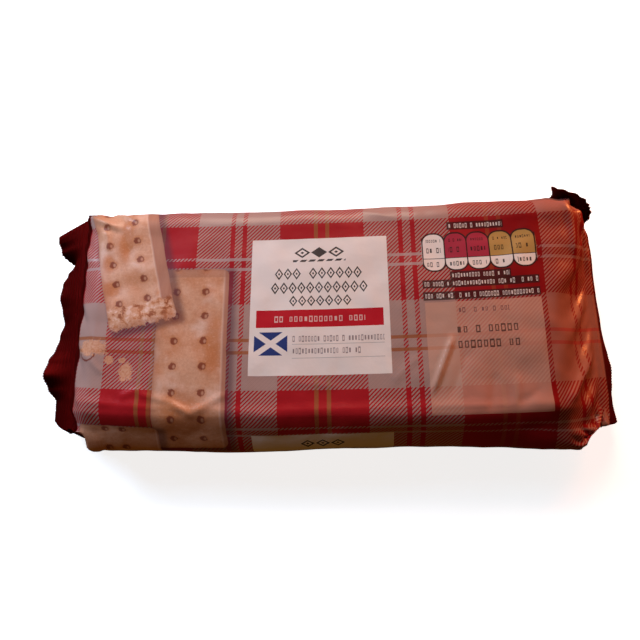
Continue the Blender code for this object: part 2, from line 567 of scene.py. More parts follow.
def outward(points: Array) -> Array:
    """The outward normal at each point of a tube, by row and column."""
    along = np.gradient(points, axis=0)
    around = np.roll(points, -1, axis=1) - np.roll(points, 1, axis=1)
    return unit(np.cross(around, along))


@dataclass(frozen=True)
class SheetGrid:
    """The film's own coordinates at one fineness, with a few held rows inside each seal."""

    form: TubeForm
    spacing: float
    held_length: float = 2 * MM

    @property
    def held(self) -> int:
        """How many rows at each end are held in the seal."""
        return max(2, round(self.held_length / self.spacing))

    @property
    def u(self) -> Array:
        """Places along the film, one for each row."""
        left, right = (end.side.value * self.form.film_end(end) for end in self.form.ends)
        spans = round((right - left) / self.spacing)
        step = (right - left) / spans
        return left + step * np.arange(-self.held, spans + self.held + 1)

    @property
    def w(self) -> Array:
        """Places round the film, one for each column."""
        columns = 4 * round(self.form.half_girth / 2 / self.spacing)
        step = 2 * self.form.half_girth / columns
        return (np.arange(columns) + 0.5) * step - self.form.half_girth


@dataclass
class SettlingFilm:
    """A tube of film that keeps its flat size while it settles round the fingers inside it."""

    grid: SheetGrid
    slack: float = 0.004  # how much more film there is than the taut form needs
    stretch: float = 0.95  # how fully one round takes out a stretch
    squeeze: float = 0.55  # how fully it takes out a squeeze, which film gives way to by creasing
    inwards: float = 1.6 * MM  # how far the loose parts of the film may sink
    outwards: float = 1.8 * MM  # how far they may rise
    firm: float = 0.1 * MM  # how far the film may sink where it lies on the fingers
    floor_gap: float = 0.1 * MM

    def __post_init__(self) -> None:
        """Lays out the taut form and how far each point may leave it."""
        form = self.grid.form
        self.u, self.w = self.grid.u, self.grid.w
        self.taut = form.places(self.u, self.w)
        self.normals = outward(self.taut)
        self.points = self.taut.copy()
        self.held = np.zeros(len(self.u), bool)
        self.held[: self.grid.held] = self.held[-self.grid.held :] = True
        self.low, self.high = self.freedom()

    def freedom(self) -> tuple[Array, Array]:
        """How far each point may move inwards and outwards from the taut form.

        Returns:
            The lowest and the highest place along the taut form's normal.
        """
        form = self.grid.form
        share = np.zeros(len(self.u))
        for end in form.ends:
            along, out, drop = form.profiles[end.side]
            run = end.side.value * self.u - out[0]
            share = np.maximum(share, np.interp(run, along, drop))
        sides = ease((np.abs(self.w) - form.panel_half) / (5 * MM))
        sides = sides * ease((form.half_girth - form.panel_half - np.abs(self.w)) / (5 * MM))
        loose = np.maximum(sides[None, :], ease(share * 8)[:, None])
        tucked = ease((np.abs(self.w) - form.seal_half + 4 * MM) / (4 * MM))
        tucked = tucked * ease((form.half_girth - form.seal_half + 4 * MM - np.abs(self.w)) / (4 * MM))
        room = (1 - share)[:, None] ** 0.6 * (1 - tucked[None, :] * ease(share * 1.6)[:, None] * 0.9)
        low = -mix(self.firm, self.inwards, loose) * room
        high = self.outwards * (0.25 + 0.75 * ease(share * 8))[:, None] * room
        return low, high

    def links(self) -> list[tuple[slice | Array, slice | Array, slice | Array, slice | Array, float]]:
        """The film's lengths to keep, in batches in which no point comes twice.

        Returns:
            The rows and columns of the near points and of the far points, and the flat distance.
        """
        rows, columns = len(self.u), len(self.w)
        step_u, step_w = self.u[1] - self.u[0], self.w[1] - self.w[0]
        every = np.arange(columns)
        batches = []
        for start in (0, 1):
            near, far = slice(start, rows - 1, 2), slice(start + 1, rows, 2)
            for turn in (0, 1, -1):
                flat = math.hypot(step_u, turn * step_w) * (1 + self.slack)
                batches.append((near, every, far, (every + turn) % columns, flat))
            near, flat = np.arange(start, columns, 2), step_w * (1 + self.slack)
            batches.append((slice(None), near, slice(None), (near + 1) % columns, flat))
        return batches

    def disturb(self, height: float, coarse: float, seed: int) -> None:
        """Pushes the film off the form in soft random swells, to start its creases.

        Args:
            height: The spread of the swells.
            coarse: The distance from crest to crest.
            seed: Fixes the random draw.
        """
        spacing = (self.u[1] - self.u[0], self.w[1] - self.w[0])
        swells = smooth_noise((len(self.u), len(self.w)), spacing, coarse, seed)
        room = np.clip(self.high / self.outwards, 0, 1)
        self.points += self.normals * (height * swells * room)[..., None]

    def settle(self, rounds: int, stiffness: float, pull: float) -> None:
        """Lets the film find its length again, a little at a time.

        Args:
            rounds: How often every length is put right.
            stiffness: How strongly the film keeps from sharp folds, from 0 to 1.
            pull: How strongly each round draws it back towards the taut form, from 0 to 1.
        """
        links = self.links()
        for _ in range(rounds):
            for near_rows, near_columns, far_rows, far_columns, flat in links:
                near = self.points[near_rows][:, near_columns]
                far = self.points[far_rows][:, far_columns]
                gap = far - near
                length = np.sqrt(np.einsum("...i,...i", gap, gap))
                miss = length - flat
                share = miss * np.where(miss > 0, self.stretch, self.squeeze) / np.maximum(length, 1e-9) / 2
                push = gap * share[..., None]
                self.points[near_rows, near_columns] = near + push
                self.points[far_rows, far_columns] = far - push
            self.smooth(stiffness, pull)

    def smooth(self, stiffness: float, pull: float) -> None:
        """Evens out the film's distance from the taut form, and keeps it within its freedom.

        Args:
            stiffness: How far each point moves towards the mean of its neighbours.
            pull: How far it moves towards the taut form.
        """
        off = self.points - self.taut
        mean = np.roll(off, 1, axis=1) + np.roll(off, -1, axis=1)
        mean[1:-1] += off[2:] + off[:-2]
        mean[1:-1] /= 4
        mean[[0, -1]] /= 2
        off += stiffness * (mean - off)
        off *= 1 - pull
        depth = np.einsum("...i,...i", off, self.normals)
        off += self.normals * (np.clip(depth, self.low, self.high) - depth)[..., None]
        off[self.held] = 0
        self.points = self.taut + off
        self.points[..., 2] = np.maximum(self.points[..., 2], self.floor_gap)

    def refine(self, spacing: float) -> "SettlingFilm":
        """The same film on a finer grid.

        Args:
            spacing: The finer grid's spacing.

        Returns:
            The film, in the same shape.
        """
        finer = SettlingFilm(SheetGrid(self.grid.form, spacing), self.slack, self.stretch, self.squeeze)
        off = self.points - self.taut
        off = np.concatenate([off[:, -2:], off, off[:, :2]], axis=1)
        step = self.w[1] - self.w[0]
        around = self.w[0] + step * np.arange(-2, len(self.w) + 2)
        off = resampled(off, around, finer.w, axis=1)
        off = resampled(off, self.u, finer.u, axis=0)
        finer.points = finer.taut + off
        return finer


def resampled(values: Array, old: Array, new: Array, axis: int) -> Array:
    """Evenly spaced values read at new places along one axis, on a smooth curve through them.

    Args:
        values: The values.
        old: Their places along the axis.
        new: The places to read, which may lie a little outside.
        axis: The axis.

    Returns:
        The values at the new places.
    """
    values = np.moveaxis(values, axis, 0)
    place = np.clip((new - old[0]) / (old[1] - old[0]), 0, len(old) - 1)
    step = np.clip(place.astype(int), 0, len(old) - 2)
    t = (place - step).reshape(-1, *([1] * (values.ndim - 1)))
    before, near = values[np.maximum(step - 1, 0)], values[step]
    far, after = values[step + 1], values[np.minimum(step + 2, len(old) - 1)]
    bend = (far - before, 2 * before - 5 * near + 4 * far - after, 3 * (near - far) + after - before)
    curve = near + 0.5 * t * (bend[0] + t * (bend[1] + t * bend[2]))
    return np.moveaxis(curve, 0, axis)


def new_piece(
    name: str, points: Array, faces: list[list[int]], finish: bpy.types.Material
) -> bpy.types.Object:
    """A smooth-shaded mesh object in the scene.

    Args:
        name: The piece's name.
        points: Its points.
        faces: Each face's point numbers, anticlockwise seen from outside.
        finish: Its material.

    Returns:
        The object.
    """
    mesh = bpy.data.meshes.new(name)
    mesh.from_pydata(points.reshape(-1, 3).tolist(), [], faces)
    mesh.materials.append(finish)
    mesh.shade_smooth()
    mesh.update()
    piece = bpy.data.objects.new(name, mesh)
    bpy.context.scene.collection.objects.link(piece)
    return piece


def lay_map(mesh: bpy.types.Mesh, name: str, corners: Array) -> None:
    """Adds a UV map.

    Args:
        mesh: The mesh.
        name: The map's name.
        corners: Two coordinates for each face corner, in the mesh's order.
    """
    layer = mesh.uv_layers.new(name=name)
    layer.data.foreach_set("uv", np.ascontiguousarray(corners, np.float32).ravel())


def corner_points(mesh: bpy.types.Mesh) -> Array:
    """The point number of each face corner."""
    numbers = np.empty(len(mesh.loops), np.int32)
    mesh.loops.foreach_get("vertex_index", numbers)
    return numbers


def mesh_points(mesh: bpy.types.Mesh) -> Array:
    """The mesh's points."""
    points = np.empty(len(mesh.vertices) * 3)
    mesh.vertices.foreach_get("co", points)
    return points.reshape(-1, 3)


def plate(rows: int, columns: int) -> list[list[int]]:
    """The faces of a thin closed plate. Its points are two grids, the upper sheet's and then the lower's.

    Args:
        rows: How many rows of points each sheet has.
        columns: How many columns.

    Returns:
        Each face's point numbers.
    """
    number = np.arange(2 * rows * columns).reshape(2, rows, columns)
    faces = []
    for sheet, turn in ((number[0], 1), (number[1], -1)):
        quads = np.stack([sheet[:-1, :-1], sheet[1:, :-1], sheet[1:, 1:], sheet[:-1, 1:]], axis=-1)
        faces += quads.reshape(-1, 4)[:, ::turn].tolist()
    rims = ((number[:, :, 0], 1), (number[:, -1, :], 1), (number[:, :, -1], -1), (number[:, 0, :], -1))
    for (upper, lower), turn in rims:
        quads = np.stack([upper[:-1], lower[:-1], lower[1:], upper[1:]], axis=-1)
        faces += quads[:, ::turn].tolist()
    return faces


def hand_over(piece: bpy.types.Object) -> None:
    """Attaches a finished piece to the pack's body, and hides the imported pack part."""
    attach(piece, BODY)
    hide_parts("pack")


@dataclass(frozen=True)
class SettlingStep:
    """One pass of the film's settling, on a grid of one fineness."""

    spacing: float
    rounds: int
    swell: float  # how far the film is pushed off the form first
    coarse: float  # how far apart those swells are


@dataclass
class Wrapper:
    """The film round the fingers, from seal to seal."""

    form: TubeForm
    finish: bpy.types.Material
    steps: tuple[SettlingStep, ...] = (
        SettlingStep(3.0 * MM, 260, 0.35 * MM, 14 * MM),
        SettlingStep(1.5 * MM, 200, 0.10 * MM, 7 * MM),
        SettlingStep(0.75 * MM, 120, 0.03 * MM, 4 * MM),
    )
    stiffness: float = 0.10
    pull: float = 0.003
    dents: tuple[tuple[float, float], ...] = ((13 * MM, 0.15 * MM), (6 * MM, 0.045 * MM))  # size, depth
    dent_growth: tuple[float, float] = (0.8, 1.3)  # how strong they are in the middle and at the ends
    film: SettlingFilm | None = None

    def settle(self) -> None:
        """Lets the film settle, from coarse to fine."""
        film = None
        for level, step in enumerate(self.steps):
            if film is None:
                film = SettlingFilm(SheetGrid(self.form, step.spacing))
            else:
                film = film.refine(step.spacing)
            film.disturb(step.swell, step.coarse, seed=level + 3)
            film.settle(step.rounds, self.stiffness, self.pull / 2**level)
        self.film = film

    def creased(self) -> Array:
        """The settled film's points, with its dents and creases pressed in."""
        film = self.film
        u, w = film.u[:, None], film.w[None, :]
        spacing = (film.u[1] - film.u[0], film.w[1] - film.w[0])
        depth = sum(crease.lift(u, w) for crease in CREASES)
        busier = mix(*self.dent_growth, ease((np.abs(u) - 30 * MM) / (45 * MM)))
        for number, (coarse, size) in enumerate(self.dents):
            swells = smooth_noise((len(film.u), len(film.w)), spacing, coarse, seed=number + 11)
            depth = depth + swells * size * busier
        room = np.clip(film.high / (0.2 * film.outwards), 0, 1)
        points = film.points + film.normals * (depth * room)[..., None]
        points[..., 2] = np.maximum(points[..., 2], film.floor_gap)
        return points

    def build(self) -> bpy.types.Object:
        """Makes the settled film one closed mesh.

        Returns:
            The wrapper.
        """
        self.settle()
        points = self.creased() + PACK_MIDDLE
        rows, columns = points.shape[:2]
        number = np.arange(rows * columns).reshape(rows, columns)
        turned = np.roll(number, -1, axis=1)
        walls = np.stack([number[:-1], turned[:-1], turned[1:], number[1:]], axis=-1).reshape(-1, 4)
        mouths = self.mouth(number[0], Side.LEFT) + self.mouth(number[-1], Side.RIGHT)
        piece = new_piece("wrapper", points, walls.tolist() + mouths, self.finish)
        self.lay_maps(piece.data, rows, columns)
        return piece

    def mouth(self, ring: Array, side: Side) -> list[list[int]]:
        """Faces that close the tube's flat mouth, hidden inside a seal.

        Args:
            ring: The point numbers of the last row.
            side: Which end of the pack.

        Returns:
            The faces.
        """
        half = len(ring) // 2
        across = np.arange(len(ring) // 4, 3 * len(ring) // 4)
        under = (half - 1 - across) % len(ring)
        upper, lower = ring[across], ring[under]
        faces = np.stack([upper[:-1], upper[1:], lower[1:], lower[:-1]], axis=-1)
        return (faces if side is Side.RIGHT else faces[:, ::-1]).tolist()

    def lay_maps(self, mesh: bpy.types.Mesh, rows: int, columns: int) -> None:
        """Gives the mesh its film coordinates in millimetres, and an even flat map of the whole tube.

        Args:
            mesh: The wrapper's mesh.
            rows: How many rows of points it has.
            columns: How many columns.
        """
        row, column = np.divmod(corner_points(mesh), columns)
        walls = 4 * (rows - 1) * columns
        place = np.arange(len(row))
        at_join = (place < walls) & (place // 4 % columns == columns - 1) & (column == 0)
        column = column + np.where(at_join, columns, 0)
        step = self.film.w[1] - self.film.w[0]
        around = self.film.w[0] + column * step
        lay_map(mesh, FILM_MAP, np.stack([self.film.u[row], around], axis=-1) / MM)
        room = 1 - 2 * MAP_MARGIN
        flat = MAP_MARGIN + room * np.stack([row / (rows - 1), room * column / columns], axis=-1)
        flat[walls:] = 1 - MAP_MARGIN / 2
        lay_map(mesh, BAKE_MAP, flat)


@dataclass(frozen=True)
class StripTree:
    """The node tree that crimps a flat strip and cuts teeth in its edge.

    The strip lies in its own flat coordinates: x away from the pack, y across it and z off the sheet.
    """

    name: str = "crimped_strip"
    numbers: tuple[str, ...] = (
        "Rib Pitch",
        "Rib Height",
        "Rib Start",
        "Rib End",
        "Tooth Pitch",
        "Tooth Depth",
        "Edge",
        "Width",
        "Thickness",
    )
    tooth_taper: float = 0.84  # how much narrower a tooth is at its tip
    tooth_root: float = 0.45  # how far past the edge a tooth's middle lies, in tooth depths

    def build(self) -> bpy.types.NodeTree:
        """Makes the tree.

        Returns:
            The tree, whose first input is the strip's flat mesh.
        """
        tree = bpy.data.node_groups.new(self.name, "GeometryNodeTree")
        face = tree.interface
        face.new_socket("Strip", in_out="INPUT", socket_type="NodeSocketGeometry")
        for label in self.numbers:
            face.new_socket(label, in_out="INPUT", socket_type="NodeSocketFloat")
        face.new_socket("Finish", in_out="INPUT", socket_type="NodeSocketMaterial")
        face.new_socket("Strip", in_out="OUTPUT", socket_type="NodeSocketGeometry")
        nodes = Nodes(tree)
        given = {label: nodes.given(label) for label in ("Strip", *self.numbers, "Finish")}

        teeth = self.teeth(nodes, given)
        joined = nodes.joined(given["Strip"], teeth)
        where = nodes.add("GeometryNodeInputPosition")
        x = nodes.add("ShaderNodeSeparateXYZ", values={"Vector": where})
        ramp_in = ((x - given["Rib Start"]) / given["Rib Pitch"]).between_0_and_1()
        ramp_out = ((given["Rib End"] - x) / given["Rib Pitch"]).between_0_and_1()
        wave = (x * (2 * math.pi) / given["Rib Pitch"]).sine() * given["Rib Height"]
        lift = nodes.add("ShaderNodeCombineXYZ", values={"Z": wave * ramp_in * ramp_out})
        crimped = nodes.add("GeometryNodeSetPosition", values={"Geometry": joined, "Offset": lift})
        real = nodes.add("GeometryNodeRealizeInstances", values={"Geometry": crimped})
        coat = {"Geometry": real, "Material": given["Finish"]}
        dressed = nodes.add("GeometryNodeSetMaterial", values=coat)
        nodes.add("NodeGroupOutput", values={"Strip": dressed}, out=None)
        return tree

    def teeth(self, nodes: Nodes, given: dict[str, Value]) -> Value:
        """The row of teeth along the cut edge.

        Args:
            nodes: The tree's nodes.
            given: The tree's inputs.

        Returns:
            The teeth, as instances made real.
        """
        size = nodes.add(
            "ShaderNodeCombineXYZ",
            values={"X": given["Tooth Depth"], "Y": given["Tooth Pitch"], "Z": given["Thickness"]},
        )
        block = nodes.add("GeometryNodeMeshCube", values={"Size": size}, out="Mesh")
        where = nodes.add("GeometryNodeInputPosition")
        x = nodes.add("ShaderNodeSeparateXYZ", values={"Vector": where}, out="X")
        y = nodes.add("ShaderNodeSeparateXYZ", values={"Vector": where}, out="Y")
        narrowing = (x / given["Tooth Depth"] + 0.5) * -self.tooth_taper
        shift = nodes.add("ShaderNodeCombineXYZ", values={"Y": y * narrowing})
        tooth = nodes.add("GeometryNodeSetPosition", values={"Geometry": block, "Offset": shift})
        count = (given["Width"] / given["Tooth Pitch"]).rounded()
        out = given["Edge"] + given["Tooth Depth"] * self.tooth_root
        first = (given["Tooth Pitch"] - given["Width"]) * 0.5
        start = nodes.add("ShaderNodeCombineXYZ", values={"X": out, "Y": first})
        step = nodes.add("ShaderNodeCombineXYZ", values={"Y": given["Tooth Pitch"]})
        row = {"Count": count, "Start Location": start, "Offset": step}
        line = nodes.add("GeometryNodeMeshLine", values=row)
        placed = nodes.add("GeometryNodeInstanceOnPoints", values={"Points": line, "Instance": tooth})
        return nodes.add("GeometryNodeRealizeInstances", values={"Geometry": placed})


@dataclass
class EndSeal:
    """One end seal: both layers of film and the tucked gussets, crimped flat and cut in teeth."""

    form: TubeForm
    shape: EndShape
    finish: bpy.types.Material
    tree: bpy.types.NodeTree
    overlap: float = 1.5 * MM  # how far the seal reaches back over the tube's mouth
    thickness: float = 0.34 * MM
    spacing: tuple[float, float] = (0.25 * MM, 0.5 * MM)  # along and across
    rib_pitch: float = 1.2 * MM
    rib_height: float = 0.10 * MM
    rib_margins: tuple[float, float] = (0.6 * MM, 0.8 * MM)  # the flat before the ribs and past them
    tooth_pitch: float = 1.0 * MM
    tooth_depth: float = 0.6 * MM
    ruffle: float = 0.25 * MM  # how far the cut edge waves off the sheet

    def build(self) -> bpy.types.Object:
        """Makes the flat strip, crimps and cuts it, and bends it to the seal's droop.

        Returns:
            The seal.
        """
        edge = self.form.seal_width - self.tooth_depth
        half = self.form.seal_half
        x = np.linspace(-self.overlap, edge, round((edge + self.overlap) / self.spacing[0]) + 1)
        y = np.linspace(-half, half, round(2 * half / self.spacing[1]) + 1)
        faces = plate(len(x), len(y))
        flat = np.zeros((2, len(x), len(y), 3))
        flat[..., 0], flat[..., 1] = x[:, None], y
        flat[0, ..., 2], flat[1, ..., 2] = self.thickness / 2, -self.thickness / 2
        name = f"end_seal_{self.shape.side.name.lower()}"
        strip = new_piece(name, flat, faces, self.finish)
        sizes = {
            "Rib Pitch": self.rib_pitch,
            "Rib Height": self.rib_height,
            "Rib Start": self.rib_margins[0],
            "Rib End": edge - self.rib_margins[1],
            "Tooth Pitch": self.tooth_pitch,
            "Tooth Depth": self.tooth_depth,
            "Edge": edge,
            "Width": 2 * half,
            "Thickness": self.thickness,
            "Finish": self.finish,
        }
        piece = grown(strip, self.tree, sizes)
        self.bend(piece.data)
        return piece

    def bend(self, mesh: bpy.types.Mesh) -> None:
        """Bends the flat strip to its place, and gives it its maps.

        Args:
            mesh: The crimped strip.
        """
        flat = mesh_points(mesh)
        y = flat[:, 1] + self.form.seal_shift
        reach = flat[:, 0]
        wave = np.sin(y / (3.1 * MM) + 1.3 * np.sin(y / (7.7 * MM)))
        lift = flat[:, 2] + self.ruffle * wave * ease(reach / self.form.seal_width)
        placed = self.form.seal_place(self.shape, reach, y, lift) + PACK_MIDDLE
        if self.shape.side is Side.LEFT:
            mesh.flip_normals()
        mesh.vertices.foreach_set("co", placed.ravel())
        corner = corner_points(mesh)
        along = self.shape.side.value * (self.form.film_end(self.shape) + reach)
        lay_map(mesh, FILM_MAP, np.stack([along, self.form.seal_shift - y], axis=-1)[corner] / MM)
        share = (reach + self.overlap) / (self.form.seal_width + self.overlap)
        under = np.where(flat[:, 2] < 0, 0.5, 0.0)
        across = flat[:, 1] / (2 * self.form.seal_half) + 0.5
        laid = [MAP_MARGIN + (1 - 2 * MAP_MARGIN) * across, under + MAP_MARGIN + 0.47 * share]
        lay_map(mesh, BAKE_MAP, np.stack(laid, axis=-1)[corner])
        mesh.shade_smooth()
        mesh.update()


def grown(piece: bpy.types.Object, tree: bpy.types.NodeTree, sizes: dict) -> bpy.types.Object:
    """Runs a node tree on a piece and keeps the result as a plain mesh.

    Args:
        piece: The piece, which is used up.
        tree: The node tree.
        sizes: The values of the tree's named inputs.

    Returns:
        The new piece, with the same name.
    """
    modifier = piece.modifiers.new("grow", "NODES")
    modifier.node_group = tree
    for item in tree.interface.items_tree:
        if item.in_out == "INPUT" and item.name in sizes:
            modifier[item.identifier] = sizes[item.name]
    graph = bpy.context.evaluated_depsgraph_get()
    shown = piece.evaluated_get(graph)
    mesh = bpy.data.meshes.new_from_object(shown, preserve_all_data_layers=True, depsgraph=graph)
    name = piece.name
    old = piece.data
    bpy.data.objects.remove(piece)
    bpy.data.meshes.remove(old)
    mesh.name = name
    made = bpy.data.objects.new(name, mesh)
    bpy.context.scene.collection.objects.link(made)
    return made


@dataclass
class BackSeam:
    """The long seam of the tube: a fin folded flat along the middle of the underside."""

    wrapper: Wrapper
    finish: bpy.types.Material
    width: float = 10 * MM
    thickness: float = 0.28 * MM
    clearance: float = 0.04 * MM  # between the fin and the film that it lies on
    spacing: float = 0.4 * MM
    rib_pitch: float = 1.25 * MM
    rib_height: float = 0.05 * MM

    def build(self) -> bpy.types.Object:
        """Lays the fin against the settled film.

        Returns:
            The seam.
        """
        film = self.wrapper.film
        rows = slice(film.grid.held, len(film.u) - film.grid.held)
        half = film.grid.form.half_girth
        step = film.w[1] - film.w[0]
        columns = math.ceil(self.width / step) + 2
        path = np.concatenate([film.points[rows, -columns:], film.points[rows, :2]], axis=1)
        places = half - np.concatenate([film.w[-columns:], film.w[:2] + 2 * half])
        across = np.linspace(self.width, 0, round(self.width / self.spacing) + 1)
        normals = -outward_open(path)
        path = resampled(path, places, across, axis=1)
        normals = unit(resampled(normals, places, across, axis=1))
        rib = self.rib_height * np.sin(2 * math.pi * across / self.rib_pitch)[:, None]
        near = path + normals * self.clearance
        far = path + normals * (self.clearance + self.thickness + rib)
        points = np.stack([far, near]) + PACK_MIDDLE
        points[..., 2] = np.maximum(points[..., 2], 0.0)
        faces = [face[::-1] for face in plate(len(points[0]), len(across))]
        piece = new_piece("back_seam", points, faces, self.finish)
        self.lay_maps(piece.data, film.u[rows], across)
        return piece

    def lay_maps(self, mesh: bpy.types.Mesh, u: Array, across: Array) -> None:
        """Gives the seam its film coordinates and its flat map.

        Args:
            mesh: The seam's mesh.
            u: The place along the film of each row.
            across: The place across the seam of each column.
        """
        sheet, rest = np.divmod(corner_points(mesh), len(u) * len(across))
        row, column = np.divmod(rest, len(across))
        half = self.wrapper.form.half_girth
        lay_map(mesh, FILM_MAP, np.stack([u[row], half - across[column]], axis=-1) / MM)
        share = across[column] / self.width
        along = MAP_MARGIN + (1 - 2 * MAP_MARGIN) * row / (len(u) - 1)
        around = 2 * MAP_MARGIN + 0.5 * sheet + 0.45 * share
        lay_map(mesh, BAKE_MAP, np.stack([along, around], axis=-1))


def outward_open(points: Array) -> Array:
    """The normals of an open sheet of points, by row and column."""
    return unit(np.cross(np.gradient(points, axis=0), np.gradient(points, axis=1)))


def over(under: "Value | Colour", mask: Value, colour: "Value | Colour") -> Value:
    """One colour laid over another where a mask is 1.

    Args:
        under: The colour below.
        mask: Where the upper colour shows, from 0 to 1.
        colour: The colour above.

    Returns:
        The mixed colour.
    """
    sockets = {0: mask, 6: under, 7: colour}
    return mask.nodes.add("ShaderNodeMix", {"data_type": "RGBA"}, sockets, out=2)


def distance(x: Value, y: Value) -> Value:
    """The straight distance that two lengths at right angles span."""
    return (x * x + y * y).root()


@dataclass(frozen=True)
class Inks:
    """The colours of the print, each at full light. A few also carry painted shade and painted warm light,
    as noted at each.
    """

    red: Colour = (0.40, 0.012, 0.017, 1.0)
    pale: Colour = (0.43, 0.26, 0.215, 1.0)
    gold: Colour = (0.33, 0.095, 0.032, 1.0)
    white: Colour = (0.45, 0.32, 0.29, 1.0)
    label: Colour = (0.84, 0.71, 0.63, 1.0)
    banner: Colour = (0.50, 0.012, 0.022, 1.0)
    blue: Colour = (0.028, 0.045, 0.17, 1.0)
    black: Colour = (0.018, 0.012, 0.012, 1.0)
    grey: Colour = (0.38, 0.33, 0.30, 1.0)
    # the tartan's red towards the right end, partly print and partly painted warm light
    deep_red: Colour = (0.21, 0.002, 0.003, 1.0)
    # the plain ends' maroon print, darkened further as painted shade on the seals
    end_red_and_painted_shade: Colour = (0.110, 0.0012, 0.0016, 1.0)
    # the pale squares towards the right end, partly print and partly painted warm light
    brick: Colour = (0.32, 0.055, 0.032, 1.0)
    biscuit: Colour = (0.66, 0.33, 0.195, 1.0)
    cream: Colour = (0.80, 0.52, 0.40, 1.0)
    baked: Colour = (0.52, 0.165, 0.050, 1.0)
    crust: Colour = (0.38, 0.15, 0.095, 1.0)
    hole: Colour = (0.20, 0.035, 0.018, 1.0)
    shadow: Colour = (0.085, 0.030, 0.045, 1.0)
    veil: Colour = (0.64, 0.34, 0.23, 1.0)
    pink: Colour = (0.40, 0.030, 0.055, 1.0)
    amber: Colour = (0.46, 0.26, 0.075, 1.0)


@dataclass(frozen=True)
class Sett:
    """The tartan: one repeat of its stripes, woven in both directions."""

    repeat: float = 60.0  # millimetres, as are all sizes in the print
    offset: float = 19.7  # from the middle of the film to the middle of a red stripe round the girth
    red_half: float = 0.25
    gold_pair: tuple[float, float] = (0.034, 0.0115)  # the place and half width of each of two lines
    red_pair: tuple[float, float] = (0.036, 0.0135)
    white_pair: tuple[float, float] = (0.031, 0.009)
    cross_gold_pair: tuple[float, float] = (0.036, 0.010)
    twill: float = 1.4
    thread_rate: float = 9.0  # radians of weave for each millimetre

    def weave(self, page: "Page", inks: Inks) -> Value:
        """The colour of the tartan.

        Args:
            page: The film's coordinates.
            inks: The colours.

        Returns:
            The colour.
        """
        warp = page.u / self.repeat
        weft = (page.w + self.offset) / self.repeat
        dx = abs((warp + 0.5).fraction() - 0.5)
        dy = abs((weft + 0.5).fraction() - 0.5)
        diagonal = ((page.u + page.w) / self.twill).fraction().rising(0.42, 0.58)
        other = 1 - diagonal

        red_up, red_across = dx < self.red_half, dy < self.red_half
        white = self.pair(dy, self.white_pair)
        reds = red_up.most(self.pair(0.5 - dx, self.red_pair)) * other + red_across * diagonal
        gold_up = self.pair(dx, self.gold_pair) * red_across.most(other)
        gold_across = self.pair(0.5 - dy, self.cross_gold_pair) * (1 - red_up).most(diagonal)
        thread = (page.u * self.thread_rate).sine() * (page.w * self.thread_rate).sine()
        pale = over(inks.pale, thread * 0.07 + diagonal * 0.05 + 0.04, inks.shadow)
        # Towards the right end the tartan turns darker and redder and its lines fade: partly a fade in the
        # print, partly painted warm light.
        right_fade_and_warm_light = page.u.rising(25.0, 82.0)
        pale = over(pale, right_fade_and_warm_light * 0.64, inks.brick)
        cloth = over(pale, reds, over(inks.red, right_fade_and_warm_light * 0.85, inks.deep_red))
        cloth = over(cloth, gold_up * (0.85 - right_fade_and_warm_light * 0.80), inks.gold)
        ember = over(inks.gold, right_fade_and_warm_light, inks.red)
        cloth = over(cloth, gold_across * (0.85 - right_fade_and_warm_light * 0.35), ember)
        white = white * diagonal.most(1 - red_up)
        return over(cloth, white * (0.75 - right_fade_and_warm_light * 0.45), inks.white)

    def pair(self, distance: Value, line: tuple[float, float]) -> Value:
        """1 on two lines, at the same distance on each side of a middle."""
        return abs(distance - line[0]) < line[1]


class MarkStyle(Enum):
    """What a line of print is made of. None of it can be read."""

    LOZENGES = "lozenges"
    STROKES = "strokes"


@dataclass(frozen=True)
class MarkLine:
    """A line of marks, in millimetres on the film."""

    start: float
    end: float
    level: float
    height: float
    pitch: float
    style: MarkStyle = MarkStyle.STROKES
    seed: float = 0.0


